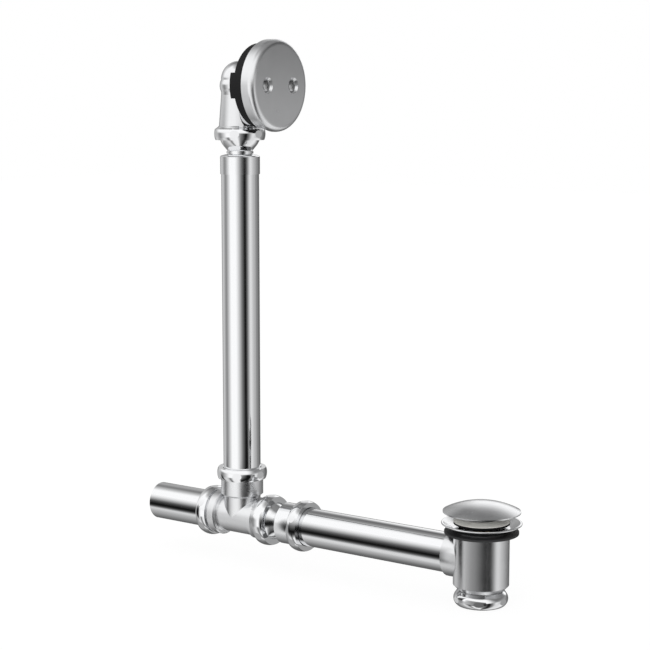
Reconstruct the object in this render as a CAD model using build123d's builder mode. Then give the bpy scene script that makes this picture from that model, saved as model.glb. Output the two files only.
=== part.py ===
from build123d import *
from math import cos, radians, sin, sqrt, tan
import os

# Bath waste and overflow, in millimetres.
# The origin is on the waste's axis at the underside of the bath floor, +Z is up,
# and +X is the way the overflow plate faces, from the riser towards the waste.

# Layout
waste_to_riser = 285.0
arm_drop = 26.6
overflow_rise = 438.7
tail_reach = 110.5
ball_from_riser = 33.0
ball_below_overflow = 46.7
riser_mouth_rise = 45.4
tail_mouth_reach = 37.0

# Tubes
tube_radius = 19.05
tube_wall = 1.2

# Fits
slip_clearance = 0.08
solder_gap = 0.05
thread_clearance = 0.05
ball_clearance = 0.1
seat_clearance = 0.05

# Slip joints, measured from the socket's mouth outwards along the tube
slip_depth = 12.0
socket_depth = 14.8
socket_wall = 2.45
mouth_chamfer = 2.4
mouth_rim = 1.0
slip_nut_hold = 5.9
slip_nut_reach = 5.5
slip_nut_lip = 2.6
slip_nut_wall = 4.0
lip_clearance = 0.35
lip_bevel = 0.6
nut_end_step = 1.2
facet_depth = 0.45

# Ball joints, measured from the ball's centre towards its cup
ball_radius = 21.0
ball_bore = 9.4
ball_rim = 2.0
ball_taper = 40.0
neck_wall = 3.1
neck_length = 0.7
neck_ring = 1.0
neck_ring_height = 1.9
neck_groove = 0.6
shoulder_rise = 1.6
shoulder_round = 1.0
overflow_collar_length = 17.5
overflow_collar_wall = 0.9
arm_collar_length = 23.4
arm_collar_wall = 1.7
solder_depth = 14.0
cup_overlap = 2.0
cup_wall = 1.25
cup_shoulder = 1.5
ball_nut_wall = 3.3
ball_nut_rim = 0.6
ball_nut_bevel = 1.5
ball_nut_back_step = 0.7
ball_nut_mouth = 0.6
overflow_nut_lip = 7.0
overflow_nut_back = 5.2
arm_nut_lip = 10.5
arm_nut_back = 2.2
nut_gap = 0.4
seat_step = 3.8
seal_foot = 0.7
seal_throat = 5.2

# Tee
run_wall = 3.3
run_bore = 15.5
branch_step = 23.5
branch_chamfer = 2.1
tail_bead = 1.4
tail_bead_start = 7.0
tail_bead_length = 9.5
cup_step = 12.4
cup_flare = 8.0

# Waste flange
flange_radius = 37.9
flange_height = 8.4
flange_edge = 1.6
dish_rim = 1.0
ledge_radius = 26.7
ledge_height = 3.3
ledge_wall = 1.2
throat_bore = 21.5
neck_radius = 23.9
neck_reach = 12.0
cross_hub_wall = 3.0
cross_height = 5.0
cross_bar = 3.0
cross_count = 4
flange_seal_height = 0.9

# Shoe, washer and cap
washer_radius = 35.0
washer_height = 2.0
washer_land = 4.8
washer_recess = 0.6
shoe_wall = 2.4
shoe_drop = 51.1
shoe_rim = 0.8
shoe_chamfer = 5.1
foot_radius = 21.2
boss_wall = 2.5
boss_reach = 32.5
arm_seat = 25.2
spigot_wall = 3.4
spigot_radius = 19.4
spigot_length = 9.3
cap_gap = 0.8
cap_radius = 25.7
cap_top_radius = 21.4
cap_ring_radius = 23.6
cap_ring_drop = 1.8
cap_ring_step = 0.3
cap_foot_radius = 22.8
cap_floor = 2.5
cap_washer_height = 2.0
cap_washer_bore = 15.5

# Push plug
dome_radius = 36.5
dome_rim_height = 19.2
dome_rise = 8.8
dome_wall = 1.5
dome_lip = 1.2
plug_hub_radius = 17.7
plate_top = 12.4
plate_edge_height = 9.6
plate_edge = 0.5
plug_radius = 26.4
plug_seal_height = 1.8
plug_seal_bore = 12.0
carrier_radius = 20.3
carrier_foot = 18.0
carrier_height = 3.5
stem_radius = 3.5
stem_head_radius = 5.4
stem_head_height = 4.0
stem_socket = 5.0
cartridge_top = -0.9
cartridge_cap = 1.8
cartridge_wall = 1.9
cartridge_length = 19.8
cartridge_floor = 1.2
stem_clearance = 0.08
spring_wire = 0.5
spring_turns = 6

# Overflow head
elbow_bore = 15.0
elbow_radius = 18.4
skirt_drop = 9.0
bead_half = 6.0
bead_rise = 1.4
crown_start = 6.2
mouth_bore = 17.0
mouth_radius = 22.5
elbow_flange_back = 23.6
elbow_flange_wall = 2.0
screw_spacing = 41.3
screw_radius = 2.4
boss_radius = 5.0
boss_length = 15.0
gasket_inset = 3.7
gasket_land = 13.0
gasket_height = 11.9
flange_inset = 2.5
lug_height = 25.0
lug_depth = 5.0
lug_width = 9.0
plate_radius = 45.2
plate_depth = 14.0
plate_round = 6.0
plate_wall = 1.2
dimple_radius = 8.0
dimple_seat = 5.7
dimple_depth = 2.6
notch_width = 34.0
notch_depth = 6.0
notch_round = 2.5
screw_head_radius = 5.2
screw_head_height = 2.2
screw_length = 38.0
screw_slot = 1.2
screw_slot_depth = 1.1

# Places worked out from the layout
riser_x = -waste_to_riser
arm_z = -arm_drop
overflow_z = arm_z + overflow_rise
overflow_ball_z = overflow_z - ball_below_overflow
arm_ball_x = riser_x + ball_from_riser

# Radii worked out from the tube
tube_bore = tube_radius - tube_wall
socket_bore = tube_radius + slip_clearance
solder_bore = tube_radius + solder_gap
socket_radius = socket_bore + socket_wall
slip_nut_bore = socket_radius + thread_clearance
slip_nut_radius = slip_nut_bore + slip_nut_wall
run_radius = run_bore + run_wall
gasket_radius = plate_radius - gasket_inset
gasket_bore = gasket_radius - gasket_land
elbow_flange_radius = gasket_radius - flange_inset
lug_inset = gasket_radius - lug_width

# Radii and stations of a ball joint
cup_bore = ball_radius + ball_clearance
cup_radius = cup_bore + cup_wall
ball_nut_bore = cup_radius + thread_clearance
ball_nut_radius = ball_nut_bore + ball_nut_wall
shoulder_radius = cup_radius - cup_shoulder
ball_neck_radius = ball_bore + neck_wall
ball_top_radius = ball_bore + ball_rim
ball_top = sqrt(ball_radius**2 - ball_top_radius**2)
cone_start_radius = ball_radius * cos(radians(ball_taper))
cone_start = -ball_radius * sin(radians(ball_taper))
cone_foot = cone_start - (cone_start_radius - ball_neck_radius) / tan(radians(ball_taper))
ring_top = cone_foot - neck_length
ring_foot = ring_top - neck_ring_height
neck_foot = ring_foot - neck_groove
collar_start = neck_foot - shoulder_rise - shoulder_round
overflow_collar_end = collar_start - overflow_collar_length
arm_collar_end = collar_start - arm_collar_length
seat_radius = ball_radius - seat_step
seat_sphere = ball_radius + seat_clearance
seal_radius = seat_radius - seat_clearance
seal_foot_radius = seal_radius - seal_foot
seal_foot_height = sqrt(seat_sphere**2 - seal_foot_radius**2)
seal_throat_radius = ball_bore + seal_throat
seal_top = sqrt(seat_sphere**2 - seal_throat_radius**2)
seat_top = seal_top + seat_clearance
seat_foot = sqrt(cup_bore**2 - seat_radius**2)

arm_mouth_x = arm_ball_x - arm_collar_end
riser_mouth_z = arm_z + riser_mouth_rise
tail_mouth_x = riser_x - tail_mouth_reach


def half_section(origin, along):
    """Plane of a turned piece's half section: x is the radius and y runs along its axis."""
    radial = Vector(1, 0, 0) if abs(along.Z) > 0.5 else Vector(0, 0, 1)
    return Plane(origin, x_dir=radial, z_dir=radial.cross(along))


def turning_axis(plane):
    """Axis that a half section is turned about."""
    return Axis(plane.origin, plane.y_dir)


def across(plane, height=0.0):
    """Plane square to a turned piece's axis, at a height along it."""
    return Plane(plane.origin + plane.y_dir * height, x_dir=plane.x_dir, z_dir=plane.y_dir)


up = Vector(0, 0, 1)
to_waste = Vector(1, 0, 0)
to_tail = Vector(-1, 0, 0)

waste_section = half_section(Vector(0, 0, 0), up)
arm_section = half_section(Vector(0, 0, arm_z), to_tail)
run_section = half_section(Vector(riser_x, 0, arm_z), to_waste)
riser_section = half_section(Vector(riser_x, 0, arm_z), up)
head_section = half_section(Vector(riser_x, 0, overflow_z), to_waste)
overflow_ball_section = half_section(Vector(riser_x, 0, overflow_ball_z), up)
arm_ball_section = half_section(Vector(arm_ball_x, 0, arm_z), to_tail)
riser_slip_section = half_section(Vector(riser_x, 0, riser_mouth_z), up)
tail_slip_section = half_section(Vector(tail_mouth_x, 0, arm_z), to_tail)
arm_slip_section = half_section(Vector(arm_mouth_x, 0, arm_z), to_waste)

# A corner of each nut points this way round its axis
upright_nut_turn = -34
level_nut_turn = 30


def on_sphere(radius, across_radius):
    """Height above the centre where a sphere has the given radius across."""
    return sqrt(radius**2 - across_radius**2)


def tube(plane, start, end):
    """Plain tube from start to end along the plane's axis."""
    with BuildPart() as piece:
        with BuildSketch(across(plane, start)):
            Circle(tube_radius)
            Circle(tube_bore, mode=Mode.SUBTRACT)
        extrude(amount=end - start)
    return piece


def slip_nut(plane, turn):
    """Barrel nut with six small flats and an inner lip that presses the tapered washer."""
    end_radius = slip_nut_radius - nut_end_step
    middle = (slip_nut_reach - slip_nut_hold) / 2
    lip_radius = tube_radius + lip_clearance
    with BuildPart() as piece:
        with BuildSketch(plane):
            with BuildLine():
                Polyline(
                    (end_radius, slip_nut_reach),
                    (lip_radius + lip_bevel, slip_nut_reach),
                    (lip_radius, slip_nut_reach - lip_bevel),
                    (lip_radius, slip_nut_reach - slip_nut_lip),
                    (slip_nut_bore, slip_nut_reach - slip_nut_lip),
                    (slip_nut_bore, -slip_nut_hold),
                    (end_radius, -slip_nut_hold),
                )
                ThreePointArc(
                    (end_radius, -slip_nut_hold), (slip_nut_radius, middle), (end_radius, slip_nut_reach)
                )
            make_face()
        revolve(axis=turning_axis(plane))
        with BuildSketch(across(plane, -slip_nut_hold)):
            RegularPolygon(slip_nut_radius - facet_depth, 6, major_radius=False, rotation=turn)
        extrude(amount=slip_nut_hold + slip_nut_reach, mode=Mode.INTERSECT)
    return piece


def slip_washer(plane):
    """Tapered rubber washer between the socket's mouth and the nut's lip."""
    top = slip_nut_reach - slip_nut_lip - seat_clearance
    seat_radius_at_mouth = socket_radius - mouth_rim - seat_clearance
    with BuildPart() as piece:
        with BuildSketch(plane):
            with BuildLine():
                Polyline(
                    (socket_bore, -mouth_chamfer / 2),
                    ((socket_bore + seat_radius_at_mouth) / 2, -mouth_chamfer / 2),
                    (seat_radius_at_mouth, 0),
                    (socket_radius - seat_clearance, seat_clearance),
                    (socket_radius - seat_clearance, top),
                    (socket_bore, top),
                    close=True,
                )
            make_face()
        revolve(axis=turning_axis(plane))
    return piece


def socket_profile(plane):
    """Half section of a slip socket's bore with its chamfered mouth."""
    with BuildSketch(plane) as profile:
        with BuildLine():
            Polyline(
                (0, 0),
                (socket_radius - mouth_rim, 0),
                (socket_bore, -mouth_chamfer),
                (socket_bore, -socket_depth),
                (0, -socket_depth),
                close=True,
            )
        make_face()
    return profile.sketch


def swivel_ball_profile(plane, wall, collar_end):
    """Half section of a hollow ball that tapers to a ringed neck, with a collar below it."""
    collar_radius = tube_radius + wall
    ring_radius = ball_neck_radius + neck_ring
    with BuildSketch(plane) as profile:
        with BuildLine():
            Line((ball_bore, ball_top), (ball_top_radius, ball_top))
            ThreePointArc(
                (ball_top_radius, ball_top), (ball_radius, 0), (cone_start_radius, cone_start)
            )
            Polyline(
                (cone_start_radius, cone_start),
                (ball_neck_radius, cone_foot),
                (ball_neck_radius, ring_top),
                (ring_radius, ring_top),
                (ring_radius, ring_foot),
                (ball_neck_radius, ring_foot),
                (ball_neck_radius, neck_foot),
                (collar_radius - shoulder_round, neck_foot - shoulder_rise),
                (collar_radius, collar_start),
                (collar_radius, collar_end),
                (tube_bore, collar_end),
                (tube_bore, collar_start - shoulder_rise),
                (ball_bore, neck_foot - shoulder_rise),
                (ball_bore, ball_top),
            )
        make_face()
    return profile.sketch


def ball_nut(plane, turn, lip, back):
    """Barrel nut with six small flats, a bevelled back and an inner lip that seats the ball."""
    back_radius = ball_nut_radius - ball_nut_back_step
    end_radius = ball_nut_radius - nut_end_step
    barrel_back = back - ball_nut_bevel
    seat_start = cup_overlap + seat_clearance
    seat_end = lip - ball_nut_mouth
    seat_middle = (seat_start + seat_end) / 2
    with BuildPart() as piece:
        with BuildSketch(plane):
            with BuildLine():
                seat_arc = ThreePointArc(
                    (on_sphere(cup_bore, seat_end), -seat_end),
                    (on_sphere(cup_bore, seat_middle), -seat_middle),
                    (on_sphere(cup_bore, seat_start), -seat_start),
                )
                Polyline(
                    seat_arc @ 1,
                    (ball_nut_bore, -seat_start),
                    (ball_nut_bore, back),
                    (ball_nut_bore + ball_nut_rim, back),
                    (back_radius, barrel_back),
                )
                ThreePointArc(
                    (back_radius, barrel_back),
                    (ball_nut_radius, (barrel_back - lip) / 2),
                    (end_radius, -lip),
                )
                Polyline((end_radius, -lip), (on_sphere(cup_bore, seat_end), -lip), seat_arc @ 0)
            make_face()
        revolve(axis=turning_axis(plane))
        with BuildSketch(across(plane, -lip)):
            RegularPolygon(ball_nut_radius - facet_depth, 6, major_radius=False, rotation=turn)
        extrude(amount=lip + back, mode=Mode.INTERSECT)
    return piece


def ball_seal(plane):
    """Rubber seat behind the ball, with a hollow face that follows the ball."""
    middle_radius = (seal_foot_radius + seal_throat_radius) / 2
    with BuildPart() as piece:
        with BuildSketch(plane):
            with BuildLine():
                ThreePointArc(
                    (seal_throat_radius, seal_top),
                    (middle_radius, on_sphere(seat_sphere, middle_radius)),
                    (seal_foot_radius, seal_foot_height),
                )
                Polyline(
                    (seal_foot_radius, seal_foot_height),
                    (seal_radius, seal_foot_height),
                    (seal_radius, seal_top),
                    (seal_throat_radius, seal_top),
                )
            make_face()
        revolve(axis=turning_axis(plane))
    return piece


def cup_profile(plane, bore_behind, reach):
    """Half section of a ball's cup with the seal's seat and the water way behind it."""
    with BuildSketch(plane) as profile:
        with BuildLine():
            hollow = ThreePointArc(
                (cup_bore, 0),
                (on_sphere(cup_bore, seat_foot / 2), seat_foot / 2),
                (seat_radius, seat_foot),
            )
            Polyline(
                hollow @ 1,
                (seat_radius, seat_top),
                (bore_behind, seat_top),
                (bore_behind, reach),
                (0, reach),
                (0, -cup_overlap),
                (cup_bore, -cup_overlap),
                hollow @ 0,
            )
        make_face()
    return profile.sketch


def write(piece, name):
    """Label a finished piece and write its STEP file."""
    piece.part.label = name
    export_step(piece.part, f"parts/{name}.step")


os.makedirs("parts", exist_ok=True)

# Waste flange: dished rim, seal ledge, threaded neck and the cross that holds the cartridge
cartridge_radius = stem_head_radius + stem_clearance + cartridge_wall
cross_hub_bore = cartridge_radius + thread_clearance
cross_hub_radius = cross_hub_bore + cross_hub_wall
ledge_under = ledge_height - ledge_wall
with BuildPart() as waste_flange:
    with BuildSketch(waste_section):
        with BuildLine():
            Polyline(
                (throat_bore, -neck_reach),
                (neck_radius, -neck_reach),
                (neck_radius, ledge_under),
                (ledge_radius, ledge_under),
                (flange_radius - flange_edge / 2, flange_height - flange_edge),
            )
            ThreePointArc(
                (flange_radius - flange_edge / 2, flange_height - flange_edge),
                (flange_radius, flange_height - flange_edge / 2),
                (flange_radius - flange_edge / 2, flange_height),
            )
            Polyline(
                (flange_radius - flange_edge / 2, flange_height),
                (flange_radius - flange_edge / 2 - dish_rim, flange_height),
                (ledge_radius, ledge_height),
                (throat_bore + dish_rim, ledge_height),
                (throat_bore, ledge_height - dish_rim),
                (throat_bore, -neck_reach),
            )
        make_face()
    revolve(axis=turning_axis(waste_section))
    with BuildSketch(across(waste_section, -neck_reach)):
        Circle(cross_hub_radius)
        with PolarLocations(0, cross_count, start_angle=45):
            Rectangle((throat_bore + neck_radius) / 2, cross_bar, align=(Align.MIN, Align.CENTER))
        Circle(cross_hub_bore, mode=Mode.SUBTRACT)
    extrude(amount=cross_height)
write(waste_flange, "waste_flange")

# Thin rubber ring under the flange
with BuildPart() as flange_seal:
    with BuildSketch(across(waste_section, ledge_under - flange_seal_height)):
        Circle(ledge_radius)
        Circle(neck_radius + seat_clearance, mode=Mode.SUBTRACT)
    extrude(amount=flange_seal_height)
write(flange_seal, "flange_seal")

# Thick rubber washer: a raised land bears on the bath floor
with BuildPart() as shoe_washer:
    with BuildSketch(across(waste_section, -washer_height)):
        Circle(washer_radius)
        Circle(neck_radius + seat_clearance, mode=Mode.SUBTRACT)
    extrude(amount=washer_height)
    with BuildSketch(across(waste_section, -washer_recess)):
        Circle(washer_radius - washer_land)
    extrude(amount=washer_recess, mode=Mode.SUBTRACT)
write(shoe_washer, "shoe_washer")

# Shoe: threaded chamber, side boss for the arm and a threaded foot
chamber_radius = neck_radius + thread_clearance
shoe_radius = chamber_radius + shoe_wall
shoe_floor = -shoe_drop
foot_top = -shoe_drop - shoe_chamfer
spigot_end = foot_top - spigot_length
spigot_bore = spigot_radius - spigot_wall
with BuildPart() as waste_shoe:
    with BuildSketch(waste_section):
        with BuildLine():
            Polyline(
                (0, -washer_height),
                (shoe_radius - shoe_rim, -washer_height),
                (shoe_radius, -washer_height - shoe_rim),
                (shoe_radius, shoe_floor),
                (foot_radius, foot_top),
                (spigot_radius, foot_top),
                (spigot_radius, spigot_end),
                (0, spigot_end),
                close=True,
            )
        make_face()
    revolve(axis=turning_axis(waste_section))
    with BuildSketch(across(arm_section)):
        Circle(solder_bore + boss_wall)
    extrude(amount=boss_reach)
    with BuildSketch(waste_section):
        with BuildLine():
            Polyline(
                (0, -washer_height),
                (chamber_radius, -washer_height),
                (chamber_radius, shoe_floor),
                (spigot_bore, shoe_floor - shoe_wall / 2),
                (spigot_bore, spigot_end),
                (0, spigot_end),
                close=True,
            )
        make_face()
    revolve(axis=turning_axis(waste_section), mode=Mode.SUBTRACT)
    with BuildSketch(arm_section):
        with BuildLine():
            Polyline(
                (0, 0),
                (tube_bore, 0),
                (tube_bore, arm_seat),
                (solder_bore, arm_seat),
                (solder_bore, boss_reach),
                (0, boss_reach),
                close=True,
            )
        make_face()
    revolve(axis=turning_axis(arm_section), mode=Mode.SUBTRACT)
write(waste_shoe, "waste_shoe")

# Cap that closes the shoe's foot, and its washer
cap_top = foot_top - cap_gap
cap_bore = spigot_radius + thread_clearance
cap_ledge = spigot_end - cap_washer_height
cap_bottom = cap_ledge - cap_floor
cap_ring_foot = cap_top - cap_ring_drop
cap_middle = (cap_ring_foot + cap_bottom) / 2
with BuildPart() as cleanout_cap:
    with BuildSketch(waste_section):
        with BuildLine():
            Polyline(
                (cap_ring_radius - cap_ring_step, cap_ring_foot),
                (cap_ring_radius, cap_ring_foot),
                (cap_top_radius, cap_top),
                (cap_bore, cap_top),
                (cap_bore, cap_ledge),
                (0, cap_ledge),
                (0, cap_bottom),
                (cap_foot_radius, cap_bottom),
            )
            ThreePointArc(
                (cap_ring_radius - cap_ring_step, cap_ring_foot),
                (cap_radius, cap_middle),
                (cap_foot_radius, cap_bottom),
            )
        make_face()
    revolve(axis=turning_axis(waste_section))
    with BuildSketch(across(waste_section, cap_bottom)):
        RegularPolygon(cap_radius - facet_depth, 6, major_radius=False, rotation=upright_nut_turn)
    extrude(amount=cap_top - cap_bottom, mode=Mode.INTERSECT)
write(cleanout_cap, "cleanout_cap")

with BuildPart() as cleanout_washer:
    with BuildSketch(across(waste_section, cap_ledge)):
        Circle(spigot_radius)
        Circle(cap_washer_bore, mode=Mode.SUBTRACT)
    extrude(amount=cap_washer_height)
write(cleanout_washer, "cleanout_washer")

# Waste arm tube, from the shoe's seat to inside the swivel's socket
waste_arm_tube = tube(arm_section, arm_seat, slip_depth - arm_mouth_x)
write(waste_arm_tube, "waste_arm_tube")

# Click cartridge: barrel with a capped top that stops the stem's head
cartridge_bottom = cartridge_top - cartridge_length
cartridge_bore = stem_head_radius + stem_clearance
cap_underside = cartridge_top - cartridge_cap
with BuildPart() as click_cartridge:
    with BuildSketch(waste_section):
        with BuildLine():
            Polyline(
                (stem_radius + stem_clearance, cartridge_top),
                (cartridge_radius, cartridge_top),
                (cartridge_radius, cartridge_bottom),
                (0, cartridge_bottom),
                (0, cartridge_bottom + cartridge_floor),
                (cartridge_bore, cartridge_bottom + cartridge_floor),
                (cartridge_bore, cap_underside),
                (stem_radius + stem_clearance, cap_underside),
                close=True,
            )
        make_face()
    revolve(axis=turning_axis(waste_section))
write(click_cartridge, "click_cartridge")

# Coil spring between the cartridge's floor and the stem's head
stem_head_top = cap_underside - seat_clearance
stem_foot = stem_head_top - stem_head_height
spring_foot = cartridge_bottom + cartridge_floor + spring_wire + seat_clearance
spring_top = stem_foot - spring_wire - seat_clearance
spring_radius = cartridge_bore - spring_wire - seat_clearance
with BuildPart() as click_spring:
    with BuildLine():
        coil = Helix(
            pitch=(spring_top - spring_foot) / spring_turns,
            height=spring_top - spring_foot,
            radius=spring_radius,
            center=(0, 0, spring_foot),
        )
    with BuildSketch(Plane(coil @ 0, z_dir=coil % 0)):
        Circle(spring_wire)
    sweep(is_frenet=True)
write(click_spring, "click_spring")

# Domed cap of the plug
dome_sphere = (dome_radius**2 + dome_rise**2) / (2 * dome_rise)
dome_top = dome_rim_height + dome_rise
dome_centre = dome_top - dome_sphere
dome_inside = dome_sphere - dome_wall
dome_inner_radius = dome_radius - dome_lip
with BuildPart() as plug_dome:
    with BuildSketch(waste_section):
        with BuildLine():
            ThreePointArc(
                (0, dome_top),
                (dome_radius / 2, dome_centre + on_sphere(dome_sphere, dome_radius / 2)),
                (dome_radius, dome_rim_height),
            )
            Polyline(
                (dome_radius, dome_rim_height),
                (dome_radius, dome_centre + on_sphere(dome_inside, dome_inner_radius)),
                (dome_inner_radius, dome_centre + on_sphere(dome_inside, dome_inner_radius)),
            )
            ThreePointArc(
                (dome_inner_radius, dome_centre + on_sphere(dome_inside, dome_inner_radius)),
                (dome_inner_radius / 2, dome_centre + on_sphere(dome_inside, dome_inner_radius / 2)),
                (0, dome_centre + dome_inside),
            )
            Line((0, dome_centre + dome_inside), (0, dome_top))
        make_face()
    revolve(axis=turning_axis(waste_section))
write(plug_dome, "plug_dome")

# Black boss between the plate and the dome, with a blind socket for the stem
hub_sphere = dome_inside - seat_clearance
stem_top = plate_top + stem_socket
with BuildPart() as plug_hub:
    with BuildSketch(waste_section):
        with BuildLine():
            Polyline(
                (plug_hub_radius, dome_centre + on_sphere(hub_sphere, plug_hub_radius)),
                (plug_hub_radius, plate_top),
                (stem_radius, plate_top),
                (stem_radius, stem_top),
                (0, stem_top),
                (0, dome_centre + hub_sphere),
            )
            ThreePointArc(
                (0, dome_centre + hub_sphere),
                (plug_hub_radius / 2, dome_centre + on_sphere(hub_sphere, plug_hub_radius / 2)),
                (plug_hub_radius, dome_centre + on_sphere(hub_sphere, plug_hub_radius)),
            )
        make_face()
    revolve(axis=turning_axis(waste_section))
write(plug_hub, "plug_hub")

# Pale conical plate above the seal
plate_bottom = plate_edge_height - plate_edge
with BuildPart() as plug_plate:
    with BuildSketch(waste_section):
        with BuildLine():
            Polyline(
                (stem_radius, plate_bottom),
                (plug_radius, plate_bottom),
                (plug_radius, plate_edge_height),
                (plug_hub_radius, plate_top),
                (stem_radius, plate_top),
                close=True,
            )
        make_face()
    revolve(axis=turning_axis(waste_section))
write(plug_plate, "plug_plate")

# Flat rubber seal, which closes on the flange's ledge
seal_bottom = plate_bottom - plug_seal_height
with BuildPart() as plug_seal:
    with BuildSketch(across(waste_section, seal_bottom)):
        Circle(plug_radius)
        Circle(plug_seal_bore, mode=Mode.SUBTRACT)
    extrude(amount=plug_seal_height)
write(plug_seal, "plug_seal")

# Black cone that clamps the seal, with a spigot through the seal's hole
with BuildPart() as plug_carrier:
    with BuildSketch(waste_section):
        with BuildLine():
            Polyline(
                (stem_radius, seal_bottom - carrier_height),
                (carrier_foot, seal_bottom - carrier_height),
                (carrier_radius, seal_bottom),
                (plug_seal_bore, seal_bottom),
                (plug_seal_bore, plate_bottom),
                (stem_radius, plate_bottom),
                close=True,
            )
        make_face()
    revolve(axis=turning_axis(waste_section))
write(plug_carrier, "plug_carrier")

# Stem with the head that runs in the cartridge
with BuildPart() as plug_stem:
    with BuildSketch(waste_section):
        with BuildLine():
            Polyline(
                (0, stem_foot),
                (stem_head_radius, stem_foot),
                (stem_head_radius, stem_head_top),
                (stem_radius, stem_head_top),
                (stem_radius, stem_top),
                (0, stem_top),
                close=True,
            )
        make_face()
    revolve(axis=turning_axis(waste_section))
write(plug_stem, "plug_stem")

# Arm coupling: slip socket and swivel ball in one piece, with its nut and washer
with BuildPart() as arm_swivel_ball:
    arm_ball_half = swivel_ball_profile(arm_ball_section, arm_collar_wall, arm_collar_end)
    revolve(arm_ball_half, turning_axis(arm_ball_section))
    with BuildSketch(across(arm_slip_section, -slip_nut_hold)):
        Circle(socket_radius)
        Circle(tube_bore, mode=Mode.SUBTRACT)
    extrude(amount=slip_nut_hold)
    revolve(socket_profile(arm_slip_section), turning_axis(arm_slip_section), mode=Mode.SUBTRACT)
write(arm_swivel_ball, "arm_swivel_ball")
write(slip_nut(arm_slip_section, level_nut_turn), "arm_slip_nut")
write(slip_washer(arm_slip_section), "arm_slip_washer")

# Tee: run with the tail's socket and the ball's cup, and an upright branch
cup_start = ball_from_riser - arm_nut_back - nut_gap
bead_start = tail_mouth_reach - tail_bead_start
bead_end = bead_start - tail_bead_length
with BuildPart() as tee_body:
    with BuildSketch(run_section):
        with BuildLine():
            Polyline(
                (0, -tail_mouth_reach),
                (socket_radius, -tail_mouth_reach),
                (socket_radius, -bead_start),
                (socket_radius + tail_bead - shoulder_round, -bead_start),
                (socket_radius + tail_bead, shoulder_round - bead_start),
                (socket_radius + tail_bead, -bead_end - shoulder_round),
                (socket_radius + tail_bead - shoulder_round, -bead_end),
                (run_radius + shoulder_round, -bead_end),
                (run_radius, shoulder_round - bead_end),
                (run_radius, ball_from_riser - cup_step),
                (shoulder_radius, ball_from_riser - cup_step + shoulder_round),
                (shoulder_radius, ball_from_riser - cup_flare),
                (cup_radius, cup_start),
                (cup_radius, ball_from_riser + cup_overlap),
                (0, ball_from_riser + cup_overlap),
                close=True,
            )
        make_face()
    revolve(axis=turning_axis(run_section))
    with BuildSketch(riser_section):
        with BuildLine():
            Polyline(
                (0, 0),
                (run_radius, 0),
                (run_radius, branch_step - branch_chamfer),
                (socket_radius, branch_step),
                (socket_radius, riser_mouth_rise),
                (0, riser_mouth_rise),
                close=True,
            )
        make_face()
    revolve(axis=turning_axis(riser_section))
    with BuildSketch(across(run_section, -tail_mouth_reach)):
        Circle(run_bore)
    extrude(amount=tail_mouth_reach + ball_from_riser, mode=Mode.SUBTRACT)
    with BuildSketch(across(riser_section)):
        Circle(run_bore)
    extrude(amount=riser_mouth_rise, mode=Mode.SUBTRACT)
    for slip_section in (tail_slip_section, riser_slip_section):
        revolve(socket_profile(slip_section), turning_axis(slip_section), mode=Mode.SUBTRACT)
    arm_cup = cup_profile(arm_ball_section, run_bore, ball_from_riser)
    revolve(arm_cup, turning_axis(arm_ball_section), mode=Mode.SUBTRACT)
write(tee_body, "tee_body")
write(ball_nut(arm_ball_section, level_nut_turn, arm_nut_lip, arm_nut_back), "arm_ball_nut")
write(ball_seal(arm_ball_section), "arm_ball_seal")

# Outlet tail with its nut and washer
outlet_tail_tube = tube(run_section, slip_depth - tail_mouth_reach, -tail_reach)
write(outlet_tail_tube, "outlet_tail_tube")
write(slip_nut(tail_slip_section, level_nut_turn), "tail_slip_nut")
write(slip_washer(tail_slip_section), "tail_slip_washer")

# Riser with its nut and washer, and the swivel ball soldered on its top
solder_seat = overflow_ball_z + overflow_collar_end + solder_depth
overflow_riser_tube = tube(riser_section, riser_mouth_rise - slip_depth, solder_seat - arm_z)
write(overflow_riser_tube, "overflow_riser_tube")
write(slip_nut(riser_slip_section, upright_nut_turn), "riser_slip_nut")
write(slip_washer(riser_slip_section), "riser_slip_washer")
with BuildPart() as overflow_swivel_ball:
    overflow_ball_half = swivel_ball_profile(
        overflow_ball_section, overflow_collar_wall, overflow_collar_end
    )
    revolve(overflow_ball_half, turning_axis(overflow_ball_section))
    with BuildSketch(across(overflow_ball_section, overflow_collar_end)):
        Circle(solder_bore)
    extrude(amount=solder_depth, mode=Mode.SUBTRACT)
write(overflow_swivel_ball, "overflow_swivel_ball")

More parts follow.
